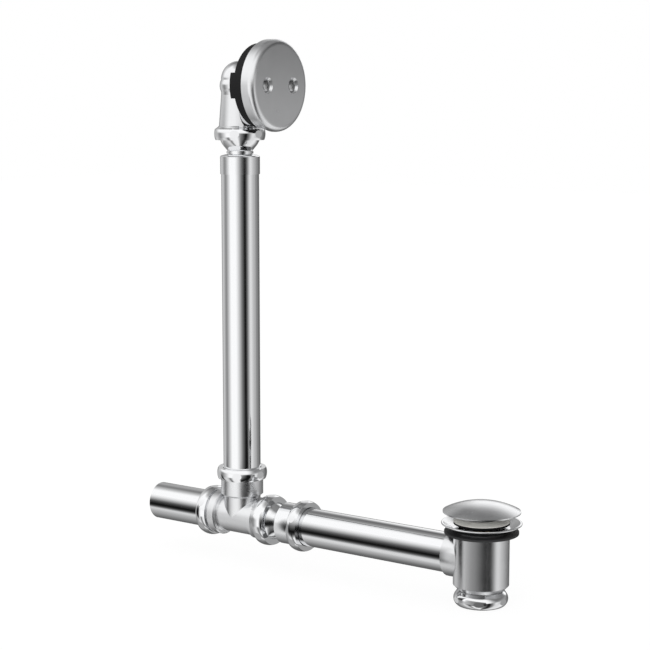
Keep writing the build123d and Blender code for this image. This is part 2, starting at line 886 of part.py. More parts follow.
# Overflow elbow: upright leg with a skirt, bead and crown, bell mouth, flange and screw bosses
leg_foot = -ball_below_overflow
flange_front = elbow_flange_back + elbow_flange_wall
skirt_top = -skirt_drop
with BuildPart() as overflow_elbow:
    with BuildSketch(half_section(Vector(riser_x, 0, overflow_z), up)):
        with BuildLine():
            Polyline(
                (0, crown_start + elbow_radius),
                (0, leg_foot - cup_overlap),
                (cup_radius, leg_foot - cup_overlap),
                (cup_radius, leg_foot + overflow_nut_back + nut_gap),
                (shoulder_radius, leg_foot + overflow_nut_back + nut_gap + cup_shoulder),
                (elbow_radius, skirt_top),
                (elbow_radius, -bead_half),
            )
            ThreePointArc(
                (elbow_radius, -bead_half), (elbow_radius + bead_rise, 0), (elbow_radius, bead_half)
            )
            Line((elbow_radius, bead_half), (elbow_radius, crown_start))
            CenterArc((0, crown_start), elbow_radius, 0, 90)
        make_face()
    revolve(axis=Axis((riser_x, 0, overflow_z), up))
    with BuildSketch(head_section):
        with BuildLine():
            Polyline(
                (0, 0),
                (elbow_radius - shoulder_round, 0),
                (mouth_radius, elbow_flange_back),
                (0, elbow_flange_back),
                close=True,
            )
        make_face()
    revolve(axis=turning_axis(head_section))
    with BuildSketch(across(head_section, elbow_flange_back)):
        Circle(elbow_flange_radius)
        Rectangle(2 * elbow_flange_radius, 2 * (lug_inset - lip_clearance), mode=Mode.INTERSECT)
    extrude(amount=elbow_flange_wall)
    with BuildSketch(across(head_section, elbow_flange_back)):
        with GridLocations(0, screw_spacing, 1, 2):
            Circle(boss_radius)
    extrude(amount=-boss_length)
    overflow_cup = cup_profile(overflow_ball_section, elbow_bore, ball_below_overflow + crown_start)
    revolve(overflow_cup, turning_axis(overflow_ball_section), mode=Mode.SUBTRACT)
    with BuildSketch(half_section(Vector(riser_x, 0, overflow_z), up)):
        with BuildLine():
            Line((0, crown_start), (elbow_bore, crown_start))
            CenterArc((0, crown_start), elbow_bore, 0, 90)
            Line((0, crown_start + elbow_bore), (0, crown_start))
        make_face()
    revolve(axis=Axis((riser_x, 0, overflow_z), up), mode=Mode.SUBTRACT)
    with BuildSketch(across(head_section)):
        Circle(mouth_bore)
    extrude(amount=flange_front, mode=Mode.SUBTRACT)
    with BuildSketch(across(head_section, flange_front)):
        with GridLocations(0, screw_spacing, 1, 2):
            Circle(screw_radius + thread_clearance)
    extrude(amount=-boss_length - elbow_flange_wall, mode=Mode.SUBTRACT)
write(overflow_elbow, "overflow_elbow")
overflow_ball_nut = ball_nut(overflow_ball_section, upright_nut_turn, overflow_nut_lip, overflow_nut_back)
write(overflow_ball_nut, "overflow_ball_nut")
write(ball_seal(overflow_ball_section), "overflow_ball_seal")

# Thick gasket with two lugs that locate it on the elbow's flange
with BuildPart() as overflow_gasket:
    with BuildSketch(across(head_section, flange_front)):
        Circle(gasket_radius)
        Circle(gasket_bore, mode=Mode.SUBTRACT)
    extrude(amount=gasket_height)
    with BuildSketch(across(head_section, flange_front)):
        Circle(gasket_radius)
        Rectangle(lug_height, 2 * gasket_radius, mode=Mode.INTERSECT)
        Rectangle(2 * gasket_radius, 2 * lug_inset, mode=Mode.SUBTRACT)
    extrude(amount=-lug_depth)
write(overflow_gasket, "overflow_gasket")

# Faceplate: pressed cup with two dimples for the screws and a notch in its lower edge
plate_back = flange_front + gasket_height
plate_front = plate_back + plate_depth
plate_inside = plate_front - plate_wall
round_start = plate_radius - plate_round
round_height = plate_front - plate_round
dimple_floor = plate_front - dimple_depth
notch_rise = plate_radius - on_sphere(plate_radius - plate_wall, notch_width / 2) + plate_wall
screw_sections = [
    half_section(Vector(riser_x, side * screw_spacing / 2, overflow_z), to_waste) for side in (-1, 1)
]
with BuildPart() as overflow_faceplate:
    with BuildSketch(head_section):
        with BuildLine():
            Polyline((round_start, plate_inside), (0, plate_inside), (0, plate_front), (round_start, plate_front))
            CenterArc((round_start, round_height), plate_round, 0, 90)
            Polyline(
                (plate_radius, round_height),
                (plate_radius, plate_back),
                (plate_radius - plate_wall, plate_back),
                (plate_radius - plate_wall, round_height),
            )
            CenterArc((round_start, round_height), plate_round - plate_wall, 0, 90)
        make_face()
    revolve(axis=turning_axis(head_section))
    for screw_section in screw_sections:
        with BuildSketch(screw_section):
            with BuildLine():
                Polyline(
                    (0, plate_inside),
                    (dimple_radius, plate_inside),
                    (dimple_seat + plate_wall, dimple_floor - plate_wall),
                    (0, dimple_floor - plate_wall),
                    close=True,
                )
            make_face()
        revolve(axis=turning_axis(screw_section))
        with BuildSketch(screw_section):
            with BuildLine():
                Polyline(
                    (0, plate_front),
                    (dimple_radius, plate_front),
                    (dimple_seat, dimple_floor),
                    (screw_radius + lip_clearance, dimple_floor),
                    (screw_radius + lip_clearance, dimple_floor - plate_wall),
                    (0, dimple_floor - plate_wall),
                    close=True,
                )
            make_face()
        revolve(axis=turning_axis(screw_section), mode=Mode.SUBTRACT)
    with BuildSketch(Plane((riser_x + plate_back, 0, overflow_z - plate_radius))):
        RectangleRounded(2 * notch_depth, notch_width, notch_round)
    extrude(amount=notch_rise, mode=Mode.SUBTRACT)
write(overflow_faceplate, "overflow_faceplate")

# Two screws with domed cross-recess heads, one on each side of the elbow's mouth
head_edge = dimple_floor + screw_head_height / 2
head_top = dimple_floor + screw_head_height
with BuildPart() as faceplate_screws:
    for screw_section in screw_sections:
        with BuildSketch(screw_section):
            with BuildLine():
                Polyline(
                    (screw_head_radius, head_edge),
                    (screw_head_radius, dimple_floor),
                    (screw_radius, dimple_floor),
                    (screw_radius, dimple_floor - screw_length),
                    (0, dimple_floor - screw_length),
                    (0, head_top),
                )
                ThreePointArc(
                    (0, head_top),
                    (screw_head_radius / 2, head_top - (head_top - head_edge) / 4),
                    (screw_head_radius, head_edge),
                )
            make_face()
        revolve(axis=turning_axis(screw_section))
        with BuildSketch(across(screw_section, head_top)):
            Rectangle(screw_head_radius, screw_slot)
            Rectangle(screw_slot, screw_head_radius)
        extrude(amount=-screw_slot_depth, mode=Mode.SUBTRACT)
write(faceplate_screws, "faceplate_screws")
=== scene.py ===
"""Finishes and studio of a chrome bath waste and overflow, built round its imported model."""

from math import pi, radians, sin

import bpy
from mathutils import Euler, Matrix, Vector


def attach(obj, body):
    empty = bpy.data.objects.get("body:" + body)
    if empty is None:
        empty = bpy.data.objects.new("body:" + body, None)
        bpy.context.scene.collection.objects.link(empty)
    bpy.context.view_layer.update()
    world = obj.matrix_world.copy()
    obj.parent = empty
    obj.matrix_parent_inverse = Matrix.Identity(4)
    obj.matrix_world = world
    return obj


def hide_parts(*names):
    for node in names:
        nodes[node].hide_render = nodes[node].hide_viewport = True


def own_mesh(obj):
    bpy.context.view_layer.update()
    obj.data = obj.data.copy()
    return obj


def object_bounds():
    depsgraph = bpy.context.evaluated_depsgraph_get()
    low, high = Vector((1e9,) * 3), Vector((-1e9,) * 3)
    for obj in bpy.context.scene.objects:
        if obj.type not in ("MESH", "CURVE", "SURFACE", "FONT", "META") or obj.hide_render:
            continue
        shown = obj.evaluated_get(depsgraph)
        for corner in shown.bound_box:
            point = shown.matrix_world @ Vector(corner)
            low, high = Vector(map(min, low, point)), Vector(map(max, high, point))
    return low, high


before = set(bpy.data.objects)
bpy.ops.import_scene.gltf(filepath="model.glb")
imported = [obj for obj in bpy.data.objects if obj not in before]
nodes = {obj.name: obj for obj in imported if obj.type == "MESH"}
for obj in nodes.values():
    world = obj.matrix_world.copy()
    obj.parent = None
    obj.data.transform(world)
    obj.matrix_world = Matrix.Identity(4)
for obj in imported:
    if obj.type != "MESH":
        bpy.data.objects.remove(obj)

bl_info = {
    "name": "Bath waste and overflow",
    "version": (1, 0, 0),
    "blender": (4, 5, 0),
    "location": "View3D > Sidebar > Bath waste",
    "description": "Finishes a bath waste and overflow and sets it in a plain studio",
    "category": "Object",
}

cad_low, cad_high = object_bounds()
MM = 0.001

# Floor and key lamp
FLOOR_GAP = 0.5 * MM
KEY_WIDTH = 1.6
KEY_HEIGHT = 1.2
KEY_PLACE = (0.3, -1.8, 0.45)
KEY_AIM = (-0.15, 0, 0.1)

# Dark cards that only polish sees: where the middle is, width, height and turn
TAIL_CARD = ((-401 * MM, -60 * MM, -20.5 * MM), 98 * MM, 93 * MM, 0)
ARM_CARD = ((-151 * MM, -60 * MM, -20.5 * MM), 210 * MM, 93 * MM, 0)
SHOE_CARD = ((30 * MM, -120 * MM, -65 * MM), 240 * MM, 150 * MM, 0)
PLATE_CARD = ((-150 * MM, 100 * MM, 430 * MM), 220 * MM, 220 * MM, radians(-37))

# How finely the spring is wound
WIRE_SIDES = 12
STEPS_A_TURN = 32
SMOOTH_ANGLE = radians(40)

# Nodes by finish
TUBES = ("waste_arm_tube", "outlet_tail_tube", "overflow_riser_tube")
NUTS = (
    "arm_slip_nut",
    "tail_slip_nut",
    "riser_slip_nut",
    "arm_ball_nut",
    "overflow_ball_nut",
    "cleanout_cap",
)
SWIVELS = ("arm_swivel_ball", "overflow_swivel_ball")
RUBBER_RINGS = (
    "plug_seal",
    "flange_seal",
    "cleanout_washer",
    "arm_slip_washer",
    "tail_slip_washer",
    "riser_slip_washer",
    "arm_ball_seal",
    "overflow_ball_seal",
    "overflow_gasket",
)


class StudioSettings(bpy.types.PropertyGroup):
    """Where the camera stands and how the studio is lit."""

    camera_place: bpy.props.FloatVectorProperty(
        name="Camera place",
        description="Where the camera stands, in the part's frame",
        subtype="TRANSLATION",
        unit="LENGTH",
        default=(782.8 * MM, -1340.9 * MM, 406.5 * MM),
    )
    camera_turn: bpy.props.FloatProperty(
        name="Camera turn",
        description="How far round from the front the camera looks",
        subtype="ANGLE",
        default=radians(35.68),
    )
    camera_pitch: bpy.props.FloatProperty(
        name="Camera pitch",
        description="How far the camera looks down",
        subtype="ANGLE",
        default=radians(7.83),
    )
    lens: bpy.props.FloatProperty(
        name="Lens",
        description="Focal length on a 36 mm sensor",
        unit="CAMERA",
        default=94.1,
    )
    floor_half: bpy.props.FloatProperty(
        name="Floor half width",
        description="Half the width of the floor sheet",
        unit="LENGTH",
        default=6.0,
    )
    shadow_share: bpy.props.FloatProperty(
        name="Shadow share",
        description="How much of the floor's own shading the camera sees beside plain white",
        subtype="FACTOR",
        default=0.16,
        min=0,
        max=1,
    )
    soft_light: bpy.props.FloatProperty(
        name="Soft light",
        description="Brightness of the even light from all round",
        default=0.8,
        min=0,
    )
    wall_light: bpy.props.FloatProperty(
        name="Wall light",
        description="Brightness of the studio walls that polished metal mirrors",
        default=1.14,
        min=0,
    )
    floor_light: bpy.props.FloatProperty(
        name="Floor light",
        description="Brightness of the floor's plain white beside its shaded share",
        default=1.06,
        min=0,
    )
    key_power: bpy.props.FloatProperty(
        name="Key power",
        description="Power of the large soft lamp beside the camera",
        unit="POWER",
        default=16.0,
        min=0,
    )


class FinishSettings(bpy.types.PropertyGroup):
    """Colours and gloss of the finishes."""

    chrome_colour: bpy.props.FloatVectorProperty(
        name="Chrome",
        description="Tint of the polished chrome",
        subtype="COLOR",
        size=4,
        default=(0.84, 0.845, 0.855, 1),
        min=0,
        max=1,
    )
    satin_colour: bpy.props.FloatVectorProperty(
        name="Satin chrome",
        description="Tint of the satin castings",
        subtype="COLOR",
        size=4,
        default=(0.80, 0.805, 0.815, 1),
        min=0,
        max=1,
    )
    rubber_colour: bpy.props.FloatVectorProperty(
        name="Rubber",
        description="Colour of the rubber rings",
        subtype="COLOR",
        size=4,
        default=(0.007, 0.007, 0.0075, 1),
        min=0,
        max=1,
    )
    washer_colour: bpy.props.FloatVectorProperty(
        name="Floor washer",
        description="Colour of the thick washer under the bath floor",
        subtype="COLOR",
        size=4,
        default=(0.03, 0.03, 0.031, 1),
        min=0,
        max=1,
    )
    black_colour: bpy.props.FloatVectorProperty(
        name="Black plastic",
        description="Colour of the plug's hub and carrier",
        subtype="COLOR",
        size=4,
        default=(0.009, 0.009, 0.0095, 1),
        min=0,
        max=1,
    )
    pale_colour: bpy.props.FloatVectorProperty(
        name="Pale plate",
        description="Colour of the plug's conical plate",
        subtype="COLOR",
        size=4,
        default=(0.8, 0.79, 0.75, 1),
        min=0,
        max=1,
    )
    brass_colour: bpy.props.FloatVectorProperty(
        name="Brass",
        description="Colour of the bare brass inside",
        subtype="COLOR",
        size=4,
        default=(0.72, 0.52, 0.25, 1),
        min=0,
        max=1,
    )


class SpringSettings(bpy.types.PropertyGroup):
    """Sizes of the click spring, which stands on the cartridge's floor."""

    wire_radius: bpy.props.FloatProperty(
        name="Wire radius",
        description="Half the thickness of the wire",
        unit="LENGTH",
        default=0.5 * MM,
    )
    coil_radius: bpy.props.FloatProperty(
        name="Coil radius",
        description="From the coil's axis to the middle of the wire",
        unit="LENGTH",
        default=4.9 * MM,
    )
    coil_foot: bpy.props.FloatProperty(
        name="Coil foot",
        description="Height of the lowest turn's middle",
        unit="LENGTH",
        default=-18.95 * MM,
    )
    coil_height: bpy.props.FloatProperty(
        name="Coil height",
        description="From the first turn to the last, with the plug up",
        unit="LENGTH",
        default=11.6 * MM,
    )
    turns: bpy.props.IntProperty(
        name="Turns",
        description="How many turns the coil has",
        default=6,
        min=1,
    )
    pressed_share: bpy.props.FloatProperty(
        name="Pressed share",
        description="How much of its height the spring keeps with the plug down",
        subtype="FACTOR",
        default=0.69,
        min=0.1,
        max=1,
    )


# Shader helpers

def add_node(tree, kind, place, **inputs):
    """Add a node at a place, with values set on its sockets by name."""
    node = tree.nodes.new(kind)
    node.location = place
    for name, value in inputs.items():
        node.inputs[name.replace("_", " ")].default_value = value
    return node


def new_group(name, sockets_in, sockets_out):
    """Start a shader node group with named sockets."""
    group = bpy.data.node_groups.new(name, "ShaderNodeTree")
    for socket, kind, default in sockets_in:
        made = group.interface.new_socket(socket, in_out="INPUT", socket_type=kind)
        if default is not None:
            made.default_value = default
    for socket, kind in sockets_out:
        group.interface.new_socket(socket, in_out="OUTPUT", socket_type=kind)
    entry = group.nodes.new("NodeGroupInput")
    entry.location = (-900, 0)
    result = group.nodes.new("NodeGroupOutput")
    result.location = (500, 0)
    return group, entry, result


def polish_haze():
    """Group: patches of fainter and stronger polish, with the finest buffing marks."""
    group = bpy.data.node_groups.get("Polish haze")
    if group:
        return group
    group, entry, result = new_group(
        "Polish haze",
        [
            ("Vector", "NodeSocketVector", None),
            ("Patch scale", "NodeSocketFloat", 90),
            ("Mark scale", "NodeSocketFloat", 1800),
            ("Bright", "NodeSocketFloat", 0.05),
            ("Hazy", "NodeSocketFloat", 0.1),
        ],
        [("Roughness", "NodeSocketFloat"), ("Height", "NodeSocketFloat")],
    )
    link = group.links.new
    patches = add_node(group, "ShaderNodeTexNoise", (-600, 150), Detail=3, Roughness=0.55)
    marks = add_node(group, "ShaderNodeTexNoise", (-600, -200), Detail=2, Roughness=0.6)
    spread = add_node(group, "ShaderNodeMapRange", (-300, 150))
    spread.inputs["From Min"].default_value = 0.3
    spread.inputs["From Max"].default_value = 0.7
    link(entry.outputs["Vector"], patches.inputs["Vector"])
    link(entry.outputs["Patch scale"], patches.inputs["Scale"])
    link(entry.outputs["Vector"], marks.inputs["Vector"])
    link(entry.outputs["Mark scale"], marks.inputs["Scale"])
    link(patches.outputs["Fac"], spread.inputs["Value"])
    link(entry.outputs["Bright"], spread.inputs["To Min"])
    link(entry.outputs["Hazy"], spread.inputs["To Max"])
    link(spread.outputs["Result"], result.inputs["Roughness"])
    link(marks.outputs["Fac"], result.inputs["Height"])
    return group


def cast_grain():
    """Group: the fine even grain of blasted and plated metal, or of moulded rubber."""
    group = bpy.data.node_groups.get("Cast grain")
    if group:
        return group
    group, entry, result = new_group(
        "Cast grain",
        [
            ("Vector", "NodeSocketVector", None),
            ("Grain scale", "NodeSocketFloat", 1400),
            ("Patch scale", "NodeSocketFloat", 60),
            ("Smooth", "NodeSocketFloat", 0.22),
            ("Rough", "NodeSocketFloat", 0.32),
            ("Dark", "NodeSocketColor", (0.5, 0.5, 0.5, 1)),
            ("Light", "NodeSocketColor", (0.6, 0.6, 0.6, 1)),
        ],
        [
            ("Color", "NodeSocketColor"),
            ("Roughness", "NodeSocketFloat"),
            ("Height", "NodeSocketFloat"),
        ],
    )
    link = group.links.new
    patches = add_node(group, "ShaderNodeTexNoise", (-600, 200), Detail=4, Roughness=0.6)
    grain = add_node(group, "ShaderNodeTexNoise", (-600, -200), Detail=2, Roughness=0.5)
    spread = add_node(group, "ShaderNodeMapRange", (-300, 100))
    spread.inputs["From Min"].default_value = 0.3
    spread.inputs["From Max"].default_value = 0.7
    shade = group.nodes.new("ShaderNodeMix")
    shade.data_type = "RGBA"
    shade.location = (-50, 300)
    link(entry.outputs["Vector"], patches.inputs["Vector"])
    link(entry.outputs["Patch scale"], patches.inputs["Scale"])
    link(entry.outputs["Vector"], grain.inputs["Vector"])
    link(entry.outputs["Grain scale"], grain.inputs["Scale"])
    link(patches.outputs["Fac"], spread.inputs["Value"])
    link(entry.outputs["Smooth"], spread.inputs["To Min"])
    link(entry.outputs["Rough"], spread.inputs["To Max"])
    link(patches.outputs["Fac"], shade.inputs["Factor"])
    link(entry.outputs["Dark"], shade.inputs["A"])
    link(entry.outputs["Light"], shade.inputs["B"])
    link(shade.outputs["Result"], result.inputs["Color"])
    link(spread.outputs["Result"], result.inputs["Roughness"])
    link(grain.outputs["Fac"], result.inputs["Height"])
    return group


def new_material(name):
    """Start a material with its Principled shader and Object coordinates."""
    material = bpy.data.materials.new(name)
    material.use_nodes = True
    tree = material.node_tree
    shader = tree.nodes["Principled BSDF"]
    coordinates = add_node(tree, "ShaderNodeTexCoord", (-1100, 0))
    return material, tree, shader, coordinates.outputs["Object"]


def place_group(tree, group, place, vector, **inputs):
    """Place a shader group in a material, fed with coordinates and its own values."""
    node = tree.nodes.new("ShaderNodeGroup")
    node.node_tree = group
    node.location = place
    tree.links.new(vector, node.inputs["Vector"])
    for name, value in inputs.items():
        node.inputs[name.replace("_", " ")].default_value = value
    return node


def add_bump(tree, shader, height, depth, strength):
    """Raise a height on the shader's normal."""
    bump = add_node(tree, "ShaderNodeBump", (-250, -300), Strength=strength, Distance=depth)
    tree.links.new(height, bump.inputs["Height"])
    tree.links.new(bump.outputs["Normal"], shader.inputs["Normal"])


def tinted(colour, share):
    """A colour made lighter or darker by a share of itself."""
    return tuple(min(1, part * share) for part in colour[:3]) + (1,)


def polished_chrome(name, colour, roughness):
    """Mirror chrome, with a faint haze between two roughnesses."""
    material, tree, shader, vector = new_material(name)
    bright, hazy = roughness
    haze = place_group(tree, polish_haze(), (-700, 0), vector, Bright=bright, Hazy=hazy)
    shader.inputs["Base Color"].default_value = colour
    shader.inputs["Metallic"].default_value = 1
    tree.links.new(haze.outputs["Roughness"], shader.inputs["Roughness"])
    add_bump(tree, shader, haze.outputs["Height"], depth=0.002 * MM, strength=0.15)
    return material


def grained(name, colour, shades, roughness, depth, strength, grain_scale=1400):
    """Grained surface: patches between two shares of a colour and two roughnesses, and a fine bump."""
    material, tree, shader, vector = new_material(name)
    dark, light = shades
    smooth, rough = roughness
    grain = place_group(
        tree,
        cast_grain(),
        (-700, 0),
        vector,
        Grain_scale=grain_scale,
        Smooth=smooth,
        Rough=rough,
        Dark=tinted(colour, dark),
        Light=tinted(colour, light),
    )
    tree.links.new(grain.outputs["Color"], shader.inputs["Base Color"])
    tree.links.new(grain.outputs["Roughness"], shader.inputs["Roughness"])
    add_bump(tree, shader, grain.outputs["Height"], depth, strength)
    return material, shader


def satin_chrome(name, colour, roughness, depth):
    """Plated casting with a soft sheen and a fine grain."""
    material, shader = grained(name, colour, (0.95, 1.04), roughness, depth, strength=0.25)
    shader.inputs["Metallic"].default_value = 1
    return material


def moulded(name, colour, roughness, depth, grain_scale):
    """Moulded rubber or plastic with a fine skin."""
    material, shader = grained(name, colour, (0.8, 1.25), roughness, depth, 0.4, grain_scale)
    shader.inputs["Specular IOR Level"].default_value = 0.2
    return material


def bare_metal(name, colour, roughness):
    """Turned brass or drawn wire, unplated."""
    material, shader = grained(name, colour, (0.85, 1.1), roughness, depth=0.01 * MM, strength=0.2)
    shader.inputs["Metallic"].default_value = 1
    return material


def rubber(name, colour):
    """Matt dark rubber with a moulded skin."""
    return moulded(name, colour, (0.55, 0.7), depth=0.04 * MM, grain_scale=900)


def plastic(name, colour, grain_scale):
    """Moulded plastic, a little smoother than rubber."""
    return moulded(name, colour, (0.45, 0.6), depth=0.02 * MM, grain_scale=grain_scale)


def dress(names, material):
    """Give a finish to CAD nodes."""
    for name in names:
        mesh = nodes[name].data
        mesh.materials.clear()
        mesh.materials.append(material)


class DressTubes(bpy.types.Operator):
    """Polish the three tubes"""

    bl_idname = "bath_waste.dress_tubes"
    bl_label = "Tubes"

    def execute(self, context):
        finish = context.scene.bath_waste_finish
        dress(TUBES, polished_chrome("polished_tube", finish.chrome_colour, (0.06, 0.1)))
        return {"FINISHED"}


class DressNuts(bpy.types.Operator):
    """Polish the barrel nuts, the foot cap and the swivel balls"""

    bl_idname = "bath_waste.dress_nuts"
    bl_label = "Nuts and swivels"

    def execute(self, context):
        finish = context.scene.bath_waste_finish
        dress(NUTS, polished_chrome("polished_nut", finish.chrome_colour, (0.04, 0.07)))
        dress(SWIVELS, polished_chrome("polished_swivel", finish.chrome_colour, (0.1, 0.14)))
        return {"FINISHED"}


class DressCastings(bpy.types.Operator):
    """Finish the tee, the elbow and the shoe in satin chrome"""

    bl_idname = "bath_waste.dress_castings"
    bl_label = "Castings"

    def execute(self, context):
        satin = context.scene.bath_waste_finish.satin_colour
        dress(["overflow_elbow"], satin_chrome("satin_elbow", satin, (0.07, 0.11), depth=0.004 * MM))
        dress(["tee_body"], satin_chrome("satin_tee", satin, (0.26, 0.34), depth=0.006 * MM))
        dress(["waste_shoe"], satin_chrome("satin_shoe", satin, (0.2, 0.28), depth=0.01 * MM))
        return {"FINISHED"}


class DressPlug(bpy.types.Operator):
    """Finish the push plug and its mechanism"""

    bl_idname = "bath_waste.dress_plug"
    bl_label = "Push plug"

    def execute(self, context):
        finish = context.scene.bath_waste_finish
        satin = finish.satin_colour
        dress(["plug_dome"], satin_chrome("satin_dome", satin, (0.2, 0.28), depth=0.006 * MM))
        dress(["waste_flange"], satin_chrome("satin_flange", satin, (0.16, 0.24), depth=0.006 * MM))
        dress(["plug_hub", "plug_carrier"], plastic("black_plastic", finish.black_colour, grain_scale=1600))
        dress(["plug_plate"], plastic("pale_plate", finish.pale_colour, grain_scale=1200))
        dress(["click_cartridge", "plug_stem"], bare_metal("turned_brass", finish.brass_colour, (0.25, 0.4)))
        return {"FINISHED"}


def wound_coil(spring):
    """Coil of round wire: a ring of wire, screwed up round the plug's axis and closed at both ends."""
    bpy.ops.object.select_all(action="DESELECT")
    bpy.ops.mesh.primitive_circle_add(
        vertices=WIRE_SIDES,
        radius=spring.wire_radius,
        location=(spring.coil_radius, 0, spring.coil_foot),
        rotation=(pi / 2, 0, 0),
    )
    bpy.ops.object.transform_apply(location=True, rotation=True, scale=True)
    coil = bpy.context.object
    bpy.ops.object.modifier_add(type="SCREW")
    winding = coil.modifiers[-1]
    winding.axis = "Z"
    winding.angle = 2 * pi
    winding.screw_offset = spring.coil_height / spring.turns
    winding.iterations = spring.turns
    winding.steps = STEPS_A_TURN
    winding.render_steps = STEPS_A_TURN
    bpy.ops.object.modifier_apply(modifier=winding.name)
    bpy.ops.object.mode_set(mode="EDIT")
    bpy.ops.mesh.select_all(action="SELECT")
    bpy.ops.mesh.fill_holes(sides=WIRE_SIDES)
    bpy.ops.mesh.normals_make_consistent(inside=False)
    bpy.ops.object.mode_set(mode="OBJECT")
    bpy.ops.object.shade_smooth_by_angle(angle=SMOOTH_ANGLE)
    return coil


class WindSpring(bpy.types.Operator):
    """Wind the click spring as it stands with the plug up; the real spring shortens as the plug is pressed
    """

    bl_idname = "bath_waste.wind_spring"
    bl_label = "Click spring"

    def execute(self, context):
        spring = context.scene.bath_waste_spring
        finish = context.scene.bath_waste_finish
        coil = wound_coil(spring)
        coil.name = "wound_click_spring"
        coil.data.materials.append(bare_metal("spring_wire", finish.chrome_colour, (0.25, 0.35)))
        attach(coil, "waste")
        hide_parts("click_spring")
        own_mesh(coil)
        return {"FINISHED"}


class DressRubber(bpy.types.Operator):
    """Finish the rubber washers, seals and gasket"""

    bl_idname = "bath_waste.dress_rubber"
    bl_label = "Rubber"

    def execute(self, context):
        finish = context.scene.bath_waste_finish
        dress(RUBBER_RINGS, rubber("black_rubber", finish.rubber_colour))
        dress(["shoe_washer"], rubber("floor_washer", finish.washer_colour))
        return {"FINISHED"}


class DressOverflow(bpy.types.Operator):
    """Finish the overflow plate, and its screws in chrome darkened with painted shade"""

    bl_idname = "bath_waste.dress_overflow"
    bl_label = "Overflow plate"

    def execute(self, context):
        finish = context.scene.bath_waste_finish
        plate = satin_chrome("satin_plate", finish.satin_colour, (0.27, 0.34), depth=0.001 * MM)
        dress(["overflow_faceplate"], plate)
        # The screws' chrome is darkened to 0.55 of its tint: painted shade standing in for the shade in the
        # plate's screw recesses.
        screw_chrome_painted_shade = tinted(finish.chrome_colour, 0.55)
        dress(["faceplate_screws"], polished_chrome("polished_screw_painted_shade", screw_chrome_painted_shade, (0.06, 0.1)))
        return {"FINISHED"}


def grey_ramp(tree, place, greys):
    """Ramp of greys: a brightness for each place from 0 to 1, in order."""
    node = tree.nodes.new("ShaderNodeValToRGB")
    node.location = place
    ramp = node.color_ramp
    stops = list(greys)
    ramp.elements[0].position = stops[0]
    ramp.elements[1].position = stops[-1]
    for stop in stops[1:-1]:
        ramp.elements.new(stop)
    for element, grey in zip(ramp.elements, greys.values()):
        element.color = (grey, grey, grey, 1)
    return node


def ramp_round(tree, place, greys):
    """Ramp by direction round the object: a grey for each angle from the front, positive towards +X."""
    directions = {degrees / 360 + 0.5: grey for degrees, grey in greys.items()}
    return grey_ramp(tree, place, directions)


def ramp_up(tree, place, greys):
    """Ramp by height: a grey for each angle above the horizon."""
    heights = {(sin(radians(degrees)) + 1) / 2: grey for degrees, grey in greys.items()}
    return grey_ramp(tree, place, heights)


def maths(tree, operation, place, *values):
    """Maths node with fixed values or linked sockets."""
    node = tree.nodes.new("ShaderNodeMath")
    node.operation = operation
    node.location = place
    for socket, value in zip(node.inputs, values):
        if isinstance(value, (int, float)):
            socket.default_value = value
        else:
            tree.links.new(value, socket)
    return node.outputs["Value"]


def mixed(tree, place, factor, first, second):
    """Mix of two colours by a factor."""
    node = tree.nodes.new("ShaderNodeMix")
    node.data_type = "RGBA"
    node.location = place
    tree.links.new(factor, node.inputs["Factor"])
    tree.links.new(first, node.inputs["A"])
    tree.links.new(second, node.inputs["B"])
    return node.outputs["Result"]


def wall_ramp(tree):
    """Walls: white in front, dim on the left and behind, and a dark gap before the light right side."""
    left = {-180: 0.12, -150: 0.15, -118: 0.3, -100: 0.56, -90: 0.56, -66: 0.26, -58: 0.27, -42: 0.56}
    front = {-24: 1, 8: 1, 20: 0.76}
    gap = {44: 0.19, 56: 0.06, 62: 0.01, 69: 0.01, 80: 0.19}
    right = {96: 0.72, 103: 0.76, 118: 0.55, 146: 0.3, 180: 0.12}
    return ramp_round(tree, (-750, 400), left | front | gap | right)


def ground_ramp(tree):
    """Ground: dim on the left, a thin dark line in the light front, and the same dark gap as the walls."""
    left = {-180: 0.15, -146: 0.1, -119: 0.14, -87: 0.28, -60: 0.45, -46: 0.7, -34: 0.6}
    front = {-24: 0.2, -18: 0.2, -8: 0.85, 26: 0.9}
    gap = {42: 0.2, 62: 0.02, 70: 0.02, 82: 0.22}
    right = {97: 0.7, 146: 0.85, 180: 0.15}
    return ramp_round(tree, (-750, 150), left | front | gap | right)


def ceiling_by_side(tree, around, rise):
    """Ceiling over the left side, with its own part in front, behind and on the right."""
    left = ramp_up(tree, (-750, -100), {4: 0.25, 28: 0.4, 44: 0.12, 90: 0.25})
    front = ramp_up(tree, (-750, -350), {4: 0.9, 20: 1, 58: 1, 75: 0.4, 90: 0.3})
    back_greys = {4: 0.5, 9: 1.05, 22: 1.05, 31: 0.8, 42: 0.36, 59: 0.14, 90: 0.25}
    back = ramp_up(tree, (-750, -600), back_greys)
    right = ramp_up(tree, (-750, -850), {2: 0.36, 30: 0.16, 90: 0.25})
    front_share = ramp_round(tree, (-750, -1100), {-135: 0, -115: 0.12, -93: 0.5, -74: 1, 60: 1, 105: 0})
    back_share = ramp_round(tree, (-750, -1350), {-180: 1, -148: 1, -138: 0, 172: 0, 180: 1})
    right_share = ramp_round(tree, (-750, -1600), {75: 0, 105: 1, 168: 1, 180: 0})
    ceiling = left.outputs["Color"]
    tree.links.new(rise, left.inputs["Fac"])
    for row, (share, part) in enumerate(((front_share, front), (back_share, back), (right_share, right))):
        tree.links.new(around, share.inputs["Fac"])
        tree.links.new(rise, part.inputs["Fac"])
        place = (-400, -300 - 250 * row)
        ceiling = mixed(tree, place, share.outputs["Color"], ceiling, part.outputs["Color"])
    return ceiling


